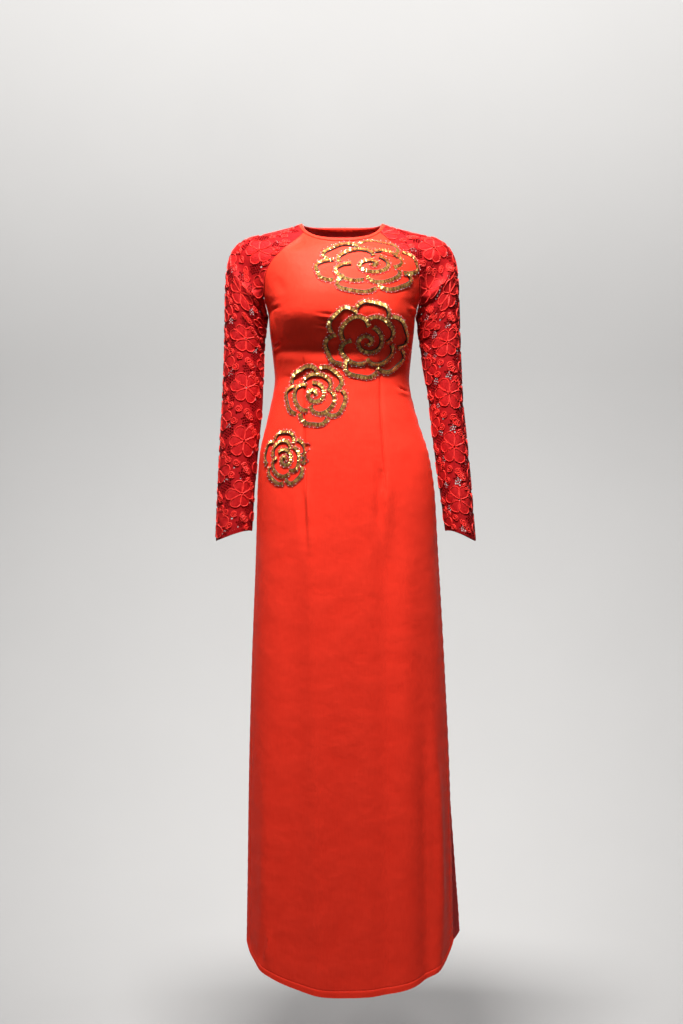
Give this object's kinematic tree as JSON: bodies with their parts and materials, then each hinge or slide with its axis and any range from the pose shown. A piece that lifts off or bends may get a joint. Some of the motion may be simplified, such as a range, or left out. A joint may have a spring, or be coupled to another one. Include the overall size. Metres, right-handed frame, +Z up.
{
  "type": "ao dai tunic",
  "caption": "Long slit tunic with a fitted body, front and back flaps, raglan lace sleeves, a round neck and beaded roses down the front.",
  "frame": {"origin": "between the two points where the shoulders meet the neck, at their height, where the wearer's shoulders hold the tunic up", "axes": "+Z up; +Y to the wearer's back, so the front faces -Y; +X to the wearer's left"},
  "size_m": [0.4697, 0.2427, 1.3691],
  "materials": {
    "satin": "red satin, glossy, softly creased",
    "lace": "corded flower lace, matt",
    "binding": "bias-cut satin",
    "beads": "gold bugle beads sewn close together"
  },
  "bodies": {
    "root": {"front_panel": "satin", "back_panel": "satin", "sleeve_right_front": "lace", "sleeve_right_back": "lace", "sleeve_left_front": "lace", "sleeve_left_back": "lace", "neck_binding": "binding", "rose_1": "beads", "rose_2": "beads", "rose_3": "beads", "rose_4": "beads"}
  },
  "joints": []
}
